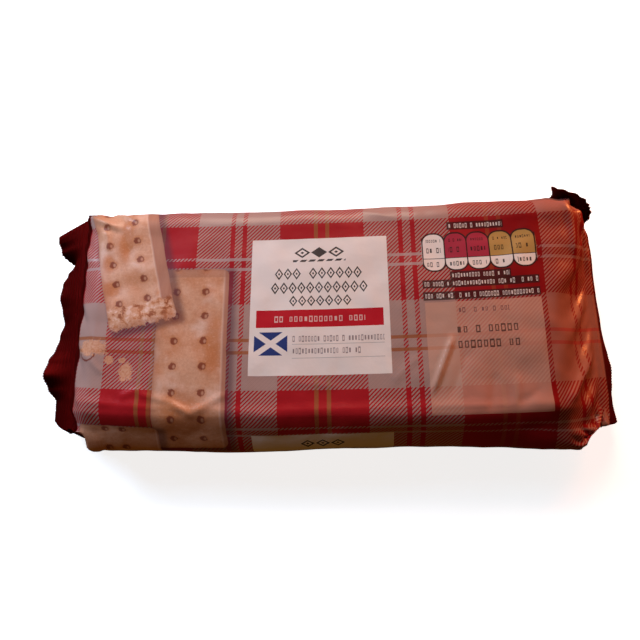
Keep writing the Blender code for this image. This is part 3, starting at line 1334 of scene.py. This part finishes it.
class Page:
    """The film's coordinates in millimetres, with the shapes that the print is made of."""

    def __init__(self, nodes: Nodes) -> None:
        """Reads the film's coordinates."""
        self.nodes = nodes
        place = nodes.add("ShaderNodeUVMap", {"uv_map": FILM_MAP})
        self.place = place
        self.u = nodes.add("ShaderNodeSeparateXYZ", values={0: place}, out="X")
        self.w = nodes.add("ShaderNodeSeparateXYZ", values={0: place}, out="Y")

    def box(self, left: float, right: float, top: float, bottom: float) -> Value:
        """1 inside an upright rectangle."""
        across = abs(self.u - (left + right) / 2) < (right - left) / 2
        return across * (abs(self.w - (top + bottom) / 2) < (bottom - top) / 2)

    def line(self, marks: MarkLine) -> Value:
        """1 on the marks of a line.

        Args:
            marks: The line.

        Returns:
            The mask.
        """
        half = marks.height / 2
        within = self.box(marks.start, marks.end, marks.level - half, marks.level + half)
        cell = (self.u - marks.start) / marks.pitch
        off = abs(cell.fraction() - 0.5) * 2
        rise = abs(self.w - marks.level) / half
        if marks.style is MarkStyle.LOZENGES:
            return within * ((abs(off + rise - 0.78) < 0.17).most(off + rise < 0.24))
        draw = self.chance(cell.floor() + marks.seed)
        tall = rise < draw * 0.45 + 0.55
        wide = draw * 0.34 + 0.42
        hollow = (off < wide - 0.34) * (rise < 0.56) * (draw > 0.40)
        return within * tall * (off < wide) * (draw > 0.16) * (1 - hollow)

    def chance(self, number: Value) -> Value:
        """A fixed random number from 0 to 1 for each whole number."""
        return self.nodes.add("ShaderNodeTexWhiteNoise", {"noise_dimensions": "1D"}, {"W": number})

    def noise(self, scale: float, detail: float = 3.0, spread: float = 0.5, stretch: float = 1.0) -> Value:
        """Soft noise over the film, from 0 to 1.

        Args:
            scale: How many swells there are to a millimetre.
            detail: How many finer octaves it has.
            spread: How strong those are.
            stretch: How much longer the swells are round the girth than along the film.

        Returns:
            The noise.
        """
        sizes = {0: self.place, 1: (scale, scale / stretch, 1.0)}
        scaled = self.nodes.add("ShaderNodeVectorMath", {"operation": "MULTIPLY"}, sizes)
        values = {"Vector": scaled, "Scale": 1.0, "Detail": detail, "Roughness": spread}
        return self.nodes.add("ShaderNodeTexNoise", None, values)

    def turned(self, centre: tuple[float, float], degrees: float) -> tuple[Value, Value]:
        """Coordinates across and along a shape that lies at an angle.

        Args:
            centre: The shape's middle.
            degrees: How far its length leans from the girth direction towards +u.

        Returns:
            The distance across it and along it from its middle.
        """
        sine, cosine = math.sin(math.radians(degrees)), math.cos(math.radians(degrees))
        du, dw = self.u - centre[0], self.w - centre[1]
        return du * cosine - dw * sine, du * sine + dw * cosine


@dataclass(frozen=True)
class Patch:
    """An oval patch in the print."""

    u: float
    w: float
    half_length: float  # along the film
    half_width: float  # round it

    def far(self, page: Page) -> Value:
        """How far each place is from the patch's middle, which is 1 on its rim."""
        return distance((page.u - self.u) / self.half_length, (page.w - self.w) / self.half_width)


@dataclass(frozen=True)
class PrintedFinger:
    """A shortbread finger in the print."""

    centre: tuple[float, float]
    half_size: tuple[float, float]  # across it and along it
    lean: float  # degrees
    side_width: float  # how much of its long side shows, on the right
    end_width: float = 0.0  # how much of its far end shows, at the top
    hole_pitch: float = 8.9
    hole_place: float = 5.1  # each row's distance from the middle line
    hole_radius: float = 1.3
    first_hole: float = 2.1  # one hole's distance along the finger from its middle
    rounding: float = 2.4
    broken: bool = False
    crumb_depth: float = 9.0  # how much of a broken finger's end is bare crumb
    browning_and_shade_patches: tuple[Patch, ...] = ()  # browned patches, one of which also stands in as painted shade

    def draw(self, page: Page, inks: Inks, under: Value) -> Value:
        """Lays the finger over the print.

        Args:
            page: The film's coordinates.
            inks: The colours.
            under: The print below.

        Returns:
            The print with the finger.
        """
        across, along = page.turned(self.centre, self.lean)
        width, length = self.half_size
        if self.broken:
            ragged = (page.noise(0.55, 4.0, 0.75) - 0.5) * 7.0
        else:
            ragged = (page.noise(0.3) - 0.5) * 0.8
        edge_across = abs(across) + (page.noise(0.16) - 0.5) * 0.9 - (width - self.rounding)
        edge_along = abs(along) + ragged - (length - self.rounding)
        far = distance(edge_across.most(0.0), edge_along.most(0.0)) - self.rounding
        inside = 1 - far.rising(-0.12, 0.12)
        cast_across = abs(across - 1.5) - width + 0.4
        cast_along = abs(along - 1.2) - length + 0.4
        cast = 1 - distance(cast_across.most(0.0), cast_along.most(0.0)).rising(0.2, 3.0)
        face = self.face(page, inks, across, along)
        if self.broken:
            face = self.broken_end(page, inks, along + ragged, face)
        face = self.holes(page, inks, across, along, face)
        edge = far.rising(-1.1, 0.0) * 0.45
        return over(over(under, cast * 0.62, inks.shadow), inside, over(face, edge, inks.crust))

    def face(self, page: Page, inks: Inks, across: Value, along: Value) -> Value:
        """The baked top face, with the long side and the end that show beside it.

        Args:
            page: The film's coordinates.
            inks: The colours.
            across: The distance across the finger from its middle.
            along: The distance along it.

        Returns:
            The colour.
        """
        toasted = page.noise(0.085, 4.0, 0.6).rising(0.40, 0.66)
        floury = page.noise(0.06, 3.0, 0.6).rising(0.50, 0.68)
        grain = page.noise(1.1, 3.0, 0.75)
        face = over(inks.biscuit, toasted * 0.55, inks.baked)
        face = over(face, floury * 0.65, inks.cream)
        # Browned patches of the print; one of them is partly painted shade.
        for dark_patch in self.browning_and_shade_patches:
            face = over(face, (1 - dark_patch.far(page).rising(0.35, 1.1)) * 0.75, inks.baked)
        face = over(face, grain.rising(0.45, 0.75) * 0.30, inks.crust)
        face = over(face, (1 - grain).rising(0.50, 0.75) * 0.30, inks.cream)
        width = self.half_size[0]
        face = over(face, abs(across).rising(width * 0.70, width) * 0.30, inks.crust)
        turn = width - self.side_width
        side = across.rising(turn - 0.25, turn + 0.25)
        streaks = page.noise(0.5, 2.0, 0.6, stretch=6.0)
        face = over(face, side, over(inks.crust, streaks * 0.45, inks.biscuit))
        face = over(face, (1 - abs(across - turn).rising(0.1, 0.6)) * 0.35, inks.cream)
        end = 1 - (along + self.half_size[1] - self.end_width).rising(-0.3, 0.3)
        return over(face, end * 0.45, inks.crust)

    def broken_end(self, page: Page, inks: Inks, along: Value, face: Value) -> Value:
        """The crumbly end where the finger is bitten off.

        Args:
            page: The film's coordinates.
            inks: The colours.
            along: The distance along the finger, made ragged.
            face: The top face's colour.

        Returns:
            The colour.
        """
        length = self.half_size[1]
        torn = along.rising(length - self.crumb_depth, length - self.crumb_depth + 1.5)
        crumb, lump = page.noise(0.32, 5.0, 0.70), page.noise(0.16, 3.0, 0.6)
        inner = over(inks.biscuit, crumb.rising(0.48, 0.58) * 0.75, inks.baked)
        inner = over(inner, (1 - crumb).rising(0.52, 0.62) * 0.8, inks.cream)
        pits = crumb.rising(0.50, 0.60) * lump.rising(0.46, 0.60)
        inner = over(inner, pits * 0.65, inks.hole)
        inner = over(inner, along.rising(length - 3.2, length - 0.6) * 0.35, inks.crust)
        return over(face, torn, inner)

    def holes(self, page: Page, inks: Inks, across: Value, along: Value, face: Value) -> Value:
        """Two rows of docking holes: each a dark crescent round a lighter floor.

        Args:
            page: The film's coordinates.
            inks: The colours.
            across: The distance across the finger from its middle.
            along: The distance along it.
            face: The face's colour.

        Returns:
            The colour.
        """
        centre_line = across + self.side_width / 2
        row = abs(centre_line) - self.hole_place
        turn = (centre_line > 0.0) * 2 - 1  # each row is mirrored, and its shading isn't
        place = (((along - self.first_hole) / self.hole_pitch + 0.5).fraction() - 0.5) * self.hole_pitch
        clear = 1.0
        if self.broken:
            clear = along < self.half_size[1] - self.crumb_depth + 1.0
        radius = self.hole_radius
        far = distance(row, place) + (page.noise(0.8, 3.0, 0.7) - 0.5) * 1.6
        lit_row, lit_place = row - turn * 0.50, place - 0.15
        lit = (lit_row * lit_row + lit_place * lit_place * 0.5).root()
        face = over(face, (1 - far.rising(radius, radius * 2.0)) * 0.40 * clear, inks.baked)
        face = over(face, (1 - far.rising(radius * 0.80, radius * 1.20)) * 0.85 * clear, inks.hole)
        return over(face, (1 - lit.rising(radius * 0.18, radius * 0.52)) * 0.60 * clear, inks.biscuit)


@dataclass(frozen=True)
class LabelPanel:
    """The pale label, with a banner, a blue field with a diagonal cross, and marks in place of words."""

    area: Box = (-24.9, 22.9, -28.9, 20.4)
    banner: Box = (-22.7, 20.8, -2.4, 3.8)
    flag: Box = (-23.2, -11.8, 5.4, 13.5)
    arm: float = 0.95  # the half width of the cross's arms
    rules: tuple[Box, ...] = ((-10.2, 20.8, 9.65, 9.85), (-10.2, 20.8, 14.4, 14.6))
    titles: tuple[MarkLine, ...] = (
        MarkLine(-16.6, -7.3, -15.6, 4.6, 3.1, MarkStyle.LOZENGES),
        MarkLine(-4.6, 14.0, -15.6, 4.6, 3.1, MarkStyle.LOZENGES),
        MarkLine(-17.9, 15.9, -10.4, 4.6, 3.07, MarkStyle.LOZENGES),
        MarkLine(-11.5, 10.2, -5.6, 4.2, 3.1, MarkStyle.LOZENGES),
    )
    notes: tuple[MarkLine, ...] = (
        MarkLine(-10.2, 20.8, 7.9, 2.3, 1.05, seed=3.0),
        MarkLine(-10.2, 13.4, 12.1, 2.3, 1.05, seed=41.0),
    )
    banner_marks: MarkLine = MarkLine(-16.6, 14.6, 0.9, 2.3, 1.7, seed=77.0)

    def draw(self, page: Page, inks: Inks, under: Value) -> Value:
        """Lays the label over the print.

        Args:
            page: The film's coordinates.
            inks: The colours.
            under: The print below.

        Returns:
            The print with the label.
        """
        panel = over(under, page.box(*self.area), inks.label)
        dark = self.sprig(page)
        for marks in self.titles:
            dark = dark + page.line(marks)
        panel = over(panel, dark.least(1.0) * 0.95, inks.black)
        for marks in self.notes:
            panel = over(panel, page.line(marks) * 0.72, inks.shadow)
        for rule in self.rules:
            panel = over(panel, page.box(*rule) * 0.8, inks.grey)
        panel = over(panel, page.box(*self.banner), inks.banner)
        panel = over(panel, page.line(self.banner_marks) * 0.6, inks.label)
        return over(panel, page.box(*self.flag) * (1 - self.cross(page)), inks.blue)

    def cross(self, page: Page) -> Value:
        """1 on the two diagonals of the blue field."""
        left, right, top, bottom = self.flag
        width, height = right - left, bottom - top
        across = (page.u - (left + right) / 2) / width
        down = (page.w - (top + bottom) / 2) / height
        return abs(abs(across) - abs(down)) < self.arm * math.hypot(width, height) / (width * height)

    def sprig(self, page: Page) -> Value:
        """The ornament at the head of the label: three lozenges over a row of short dashes."""
        lozenges = page.line(MarkLine(-9.9, 8.1, -23.5, 4.2, 6.0, MarkStyle.LOZENGES))
        solid = abs((page.u + 0.9) / 2.2) + abs(page.w + 23.5) / 1.7 < 1.0
        dashes = page.box(-10.2, 8.4, -20.8, -20.0) * (((page.u + page.w) / 3.1).fraction() < 0.66)
        return (lozenges + solid + dashes).least(1.0)


@dataclass(frozen=True)
class FactPills:
    """The row of five rounded boxes with marks in place of figures, and outlined lines round them."""

    left: float = 35.2
    count: int = 5
    width: float = 7.55
    middle: float = -21.8
    half: float = 7.0  # half the height
    rounding: float = 3.3
    divider: float = 2.4  # how far below the middle each box is divided
    side_margin: float = 1.3  # clear of marks, at each side of a box
    rows: tuple[tuple[float, float, float, float], ...] = (
        (-4.3, 1.3, 0.75, 5.0),  # below the middle, height, pitch and seed
        (-0.7, 2.2, 1.15, 9.0),
        (4.6, 2.0, 1.1, 15.0),
    )
    halo_lines: tuple[MarkLine, ...] = (
        MarkLine(44.6, 62.9, -31.6, 1.9, 0.95, seed=11.0),
        MarkLine(44.4, 63.6, -12.8, 1.9, 0.95, seed=23.0),
        MarkLine(34.9, 72.7, -9.9, 1.9, 0.95, seed=31.0),
        MarkLine(34.9, 72.7, -5.6, 1.9, 0.95, seed=53.0),
    )

    def draw(self, page: Page, inks: Inks, under: Value) -> Value:
        """Lays the boxes over the print.

        Args:
            page: The film's coordinates.
            inks: The colours.
            under: The print below.

        Returns:
            The print with the boxes.
        """
        right = self.left + self.count * self.width
        place = (page.u - self.left) / self.width
        x = (place.fraction() - 0.5) * self.width
        y = page.w - self.middle
        within = abs(place - self.count / 2) < self.count / 2 + 0.3 / self.width
        edge_x = (abs(x) - (self.width / 2 - self.rounding)).most(0.0)
        edge_y = (abs(y) - (self.half - self.rounding)).most(0.0)
        far = distance(edge_x, edge_y) - self.rounding
        box = far < -0.12
        outline = (far < 0.35) * (1 - (far < -0.22))
        tint = over(inks.label, (place > 1.0) * (place < 3.0), inks.pink)
        tint = over(tint, place > 3.0, inks.amber)
        tint = over(tint, y > self.divider, inks.label)
        pills = over(under, within * box, tint)
        level = self.middle + self.divider
        marks = page.box(self.left, right, level - 0.14, level + 0.14)
        inner = abs(x) < self.width / 2 - self.side_margin
        for below, height, pitch, seed in self.rows:
            line = MarkLine(self.left, right, self.middle + below, height, pitch, seed=seed)
            marks = marks + page.line(line) * inner
        pills = over(pills, within * (outline + marks).least(1.0) * 0.92, inks.black)
        for line in self.halo_lines:
            half = line.height / 2 + 0.55
            halo = page.box(line.start - 0.5, line.end + 0.5, line.level - half, line.level + half)
            pills = over(pills, halo * 0.80, inks.black)
            pills = over(pills, page.line(line) * 0.85, inks.label)
        return pills


@dataclass(frozen=True)
class DatePanel:
    """The pale see-through field with stamped marks."""

    area: Box = (34.8, 73.2, -3.4, 34.6)
    heading: MarkLine = MarkLine(45.6, 62.4, -0.3, 1.9, 1.25, seed=61.0)
    stamps: tuple[MarkLine, ...] = (
        MarkLine(44.4, 64.8, 6.5, 2.9, 2.05, seed=67.0),
        MarkLine(42.4, 64.8, 11.6, 2.9, 2.05, seed=71.0),
    )

    def draw(self, page: Page, inks: Inks, under: Value) -> Value:
        """Lays the field over the print.

        Args:
            page: The film's coordinates.
            inks: The colours.
            under: The print below.

        Returns:
            The print with the field.
        """
        panel = over(under, page.box(*self.area) * 0.56, inks.veil)
        panel = over(panel, page.line(self.heading) * 0.7, inks.shadow)
        for stamp in self.stamps:
            panel = over(panel, page.line(stamp) * 0.80, inks.black)
        return panel


@dataclass(frozen=True)
class SideLabel:
    """The label's head again, on the front side."""

    area: Box = (-24.0, 22.8, 42.2, 66.0)
    banner: Box = (-22.0, 20.8, 58.4, 63.4)
    heads: tuple[MarkLine, ...] = (
        MarkLine(-8.0, 7.0, 46.6, 3.2, 5.0, MarkStyle.LOZENGES),
        MarkLine(-16.6, 14.4, 53.4, 4.4, 3.1, MarkStyle.LOZENGES),
    )

    def draw(self, page: Page, inks: Inks, under: Value) -> Value:
        """Lays the label over the print.

        Args:
            page: The film's coordinates.
            inks: The colours.
            under: The print below.

        Returns:
            The print with the label.
        """
        panel = over(under, page.box(*self.area), inks.label)
        for head in self.heads:
            panel = over(panel, page.line(head) * 0.95, inks.black)
        return over(panel, page.box(*self.banner), inks.banner)


@dataclass(frozen=True)
class SmallPrint:
    """The pale panel on the underside, with its rows of small marks."""

    area: Box = (-62.0, 58.0, -104.0, -80.0)
    rows: Box = (-59.0, 55.0, -102.4, -81.6)
    first_row: float = -102.0
    row_pitch: float = 2.6
    pitch: float = 0.9  # from one mark to the next

    def draw(self, page: Page, inks: Inks, under: Value) -> Value:
        """Lays the panel over the print.

        Args:
            page: The film's coordinates.
            inks: The colours.
            under: The print below.

        Returns:
            The print with the panel.
        """
        panel = over(under, page.box(*self.area), inks.label)
        row = (page.w - self.first_row) / self.row_pitch
        place = page.u / self.pitch
        draw = page.chance(place.floor() + row.floor() * 57.0)
        tall = abs(row.fraction() - 0.5) < 0.20 + draw * 0.10
        wide = abs(place.fraction() - 0.5) < 0.36
        marks = page.box(*self.rows) * tall * (draw > 0.14) * wide
        return over(panel, marks * 0.8, inks.black)


@dataclass(frozen=True)
class PrintedFilm:
    """The glossy film with its print, as one material."""

    name: str = "printed_film"
    inks: Inks = Inks()
    ends: tuple[float, float] = (-87.2, 102.0)  # where the print gives way to plain dark red, darkened further as painted shade
    roughness: tuple[float, float] = (0.60, 0.28)  # of the plain ends and of the print
    unevenness: float = 0.12  # how much the roughness varies
    coat: float = 0.12
    metal: float = 0.85  # the foil's share of the plain ends
    fingers: tuple[PrintedFinger, ...] = (
        PrintedFinger(
            (-44.9, 15.0), (12.4, 33.0), 0.8, 1.6, end_width=3.0,
            browning_and_shade_patches=(
                Patch(-51.5, -0.5, 5.0, 4.0),
                Patch(-37.5, 8.0, 4.0, 14.0),
                # low on the upright finger, where the film turns down to the front: partly browning, partly
                # painted shade
                Patch(-45.0, 33.0, 13.0, 9.0),
            ),
        ),
        PrintedFinger(
            (-69.5, -24.8), (12.0, 28.6), 15.0, 4.2, hole_pitch=7.7, first_hole=3.6, broken=True,
            browning_and_shade_patches=(
                Patch(-71.5, -31.0, 3.2, 15.0),
                Patch(-77.0, -20.0, 3.0, 5.0),
                Patch(-75.0, -10.0, 5.0, 3.5),
            ),
        ),
        PrintedFinger((-70.5, 46.5), (15.0, 8.5), -1.0, 0.8, hole_place=3.0),
    )
    crumbs: tuple[Patch, ...] = (
        Patch(-79.8, 11.4, 5.6, 3.0),
        Patch(-73.2, 15.4, 1.6, 1.4),
        Patch(-67.0, 19.6, 2.6, 3.2),
        Patch(-68.5, 15.5, 1.2, 1.0),
    )

    def build(self) -> bpy.types.Material:
        """Makes the material.

        Returns:
            The material.
        """
        material = bpy.data.materials.new(self.name)
        material.use_nodes = True
        tree = material.node_tree
        surface = tree.nodes["Principled BSDF"]
        nodes = Nodes(tree)
        page = Page(nodes)
        colour = self.draw(page)
        nodes.feed(surface, "Base Color", colour)
        plain = self.plain(page)
        rough, smooth = self.roughness
        uneven = page.noise(0.35, 3.0, 0.6) * self.unevenness
        nodes.feed(surface, "Roughness", plain * (rough - smooth) + smooth + uneven)
        nodes.feed(surface, "Coat Weight", (1 - plain) * self.coat)
        nodes.feed(surface, "Metallic", plain * self.metal)
        nodes.feed(surface, "Normal", self.relief(page))
        surface.inputs["Specular IOR Level"].default_value = 0.22
        surface.inputs["Coat Roughness"].default_value = 0.16
        return material

    def draw(self, page: Page) -> Value:
        """The whole print, from the tartan up.

        Args:
            page: The film's coordinates.

        Returns:
            The colour.
        """
        inks = self.inks
        colour = Sett().weave(page, inks)
        for finger in self.fingers:
            colour = finger.draw(page, inks, colour)
        colour = self.scatter(page, colour)
        for part in (LabelPanel(), FactPills(), DatePanel(), SideLabel(), SmallPrint()):
            colour = part.draw(page, inks, colour)
        # The plain ends: maroon print, darkened further as painted shade, mottled with red.
        mottled = over(inks.end_red_and_painted_shade, page.noise(0.25, 3.0, 0.6).rising(0.5, 0.8) * 0.12, inks.red)
        return over(colour, self.plain(page), mottled)

    def plain(self, page: Page) -> Value:
        """1 on the dark ends of the film."""
        left, right = self.ends
        return 1 - page.u.rising(left - 0.6, left) + page.u.rising(right, right + 0.6)

    def scatter(self, page: Page, under: Value) -> Value:
        """Lays crumbs over the print.

        Args:
            page: The film's coordinates.
            under: The print below.

        Returns:
            The print with the crumbs.
        """
        ragged = page.noise(0.55, 5.0, 0.85) * 3.4 - 1.15
        ovals = [crumb.far(page) + ragged < 1.5 for crumb in self.crumbs]
        mask = ovals[0]
        for oval in ovals[1:]:
            mask = mask.most(oval)
        grain = page.noise(1.2, 3.0, 0.8).rising(0.45, 0.6)
        x, y = page.u + 81.5, page.w - 13.0  # from the middle of the one crumb with a dark rim
        rim = (abs(distance(x, y) + ragged * 0.5 - 3.4) < 0.28) * (y > 0.6)
        crumbs = over(under, mask * 0.9, over(self.inks.biscuit, grain * 0.6, self.inks.baked))
        return over(crumbs, rim * 0.85, self.inks.hole)

    def relief(self, page: Page) -> Value:
        """The film's fine dents and crinkles, as a bumped normal.

        Args:
            page: The film's coordinates.

        Returns:
            The normal.
        """
        nodes = page.nodes
        dents = page.noise(0.16, 3.0, 0.5)
        drawn = page.noise(0.22, 2.0, 0.5, stretch=3.0) * abs(page.u).rising(45.0, 90.0)
        height = dents * 0.45 + drawn * 0.30 + page.noise(1.1, 3.0, 0.6) * 0.020
        values = {"Strength": 0.6, "Distance": 0.7 * MM, "Height": height}
        return nodes.add("ShaderNodeBump", None, values, out="Normal")


@dataclass(frozen=True)
class PaleFloor:
    """The floor's plain finish."""

    colour: Colour = (0.9, 0.9, 0.9, 1.0)
    roughness: float = 0.8
    glow: float = 0.82  # lifts the floor to an even white

    def build(self) -> bpy.types.Material:
        """Makes the material.

        Returns:
            The material.
        """
        material = bpy.data.materials.new("pale_floor")
        material.use_nodes = True
        surface = material.node_tree.nodes["Principled BSDF"]
        surface.inputs["Base Color"].default_value = self.colour
        surface.inputs["Roughness"].default_value = self.roughness
        surface.inputs["Emission Color"].default_value = (1.0, 1.0, 1.0, 1.0)
        surface.inputs["Emission Strength"].default_value = self.glow
        return material


@dataclass(frozen=True)
class SoftLight:
    """A square lamp that faces the pack."""

    name: str
    place: tuple[float, float, float]
    size: float
    power: float  # watts
    colour: tuple[float, float, float]
    shines: bool = True  # whether the film's gloss shows it

    def hang(self) -> None:
        """Puts the lamp in the scene."""
        data = bpy.data.lights.new(self.name, "AREA")
        data.size = self.size
        data.energy = self.power
        data.color = self.colour
        lamp = bpy.data.objects.new(self.name, data)
        lamp.location = self.place
        lamp.rotation_euler = (-Vector(self.place)).to_track_quat("-Z", "Y").to_euler()
        lamp.visible_glossy = self.shines
        bpy.context.scene.collection.objects.link(lamp)


@dataclass(frozen=True)
class Studio:
    """The floor, the lights and the camera."""

    floor_half: float = 3.0
    lights: tuple[SoftLight, ...] = (
        SoftLight("window", (-0.26, 0.16, 0.22), 0.14, 0.95, (0.45, 0.65, 0.95), shines=False),
        SoftLight("glint", (-0.50, 0.42, 0.42), 0.10, 0.8, (0.90, 0.86, 1.0)),
        SoftLight("lamp", (0.25, 0.17, 0.06), 0.06, 0.6, (1.0, 0.28, 0.08)),
        SoftLight("fill", (-0.08, 0.78, 0.60), 0.45, 6.2, (1.0, 0.75, 0.59)),
        SoftLight("bounce", (-0.18, -0.58, 0.16), 0.30, 0.27, (1.0, 0.46, 0.06), shines=False),
    )
    glow_colour: Colour = (1.0, 0.55, 0.25, 1.0)
    glow: float = 0.025
    room_colour: Colour = (0.82, 0.81, 0.80, 1.0)
    camera_place: tuple[float, float, float] = (0.01154, -0.0544, 0.2132)
    camera_right: tuple[float, float, float] = (0.99749, -0.00655, -0.07044)
    camera_up: tuple[float, float, float] = (0.02540, 0.96245, 0.27026)
    lens: float = 31.56  # millimetres

    def build(self) -> None:
        """Makes the whole studio."""
        self.lay_floor()
        for light in self.lights:
            light.hang()
        self.surround()
        self.place_camera()
        bpy.context.scene.view_settings.view_transform = "Standard"

    def lay_floor(self) -> None:
        """A plain pale floor, which casts no light of its own on the pack."""
        half = self.floor_half
        mesh = bpy.data.meshes.new("floor")
        corners = [(-half, -half, 0), (half, -half, 0), (half, half, 0), (-half, half, 0)]
        mesh.from_pydata(corners, [], [(0, 1, 2, 3)])
        mesh.materials.append(PaleFloor().build())
        floor = bpy.data.objects.new("floor", mesh)
        bpy.context.scene.collection.objects.link(floor)
        floor.visible_diffuse = floor.visible_glossy = False

    def surround(self) -> None:
        """A faint warm light from all round, behind which the room is plain and pale."""
        world = bpy.data.worlds.new("studio")
        world.use_nodes = True
        nodes = Nodes(world.node_tree)
        glow = nodes.add(
            "ShaderNodeBackground", None, {"Color": self.glow_colour, "Strength": self.glow}
        )
        room = nodes.add("ShaderNodeBackground", None, {"Color": self.room_colour})
        seen = nodes.add("ShaderNodeLightPath", out="Is Camera Ray")
        shown = nodes.add("ShaderNodeMixShader", None, {0: seen, 1: glow, 2: room})
        nodes.feed(world.node_tree.nodes["World Output"], "Surface", shown)
        bpy.context.scene.world = world

    def place_camera(self) -> None:
        """The camera, nearly overhead."""
        right = Vector(self.camera_right).normalized()
        back = right.cross(Vector(self.camera_up)).normalized()
        up = back.cross(right)
        data = bpy.data.cameras.new("camera")
        data.lens = self.lens
        data.clip_start = 10 * MM
        camera = bpy.data.objects.new("camera", data)
        axes = Matrix((right, up, back)).transposed().to_4x4()
        camera.matrix_world = Matrix.Translation(self.camera_place) @ axes
        bpy.context.scene.collection.objects.link(camera)
        bpy.context.scene.camera = camera


def main() -> None:
    """Builds the pack and its studio."""
    logging.basicConfig(level=logging.INFO, format="%(name)s: %(message)s")
    form = TubeForm()
    finish = PrintedFilm().build()
    tree = StripTree().build()
    wrapper = Wrapper(form, finish)
    pieces = [wrapper.build()]
    pieces += [EndSeal(form, shape, finish, tree).build() for shape in form.ends]
    pieces.append(BackSeam(wrapper, finish).build())
    for piece in pieces:
        hand_over(piece)
        LOG.info("%s: %d faces", piece.name, len(piece.data.polygons))
    Studio().build()


if __name__ == "__main__":
    main()
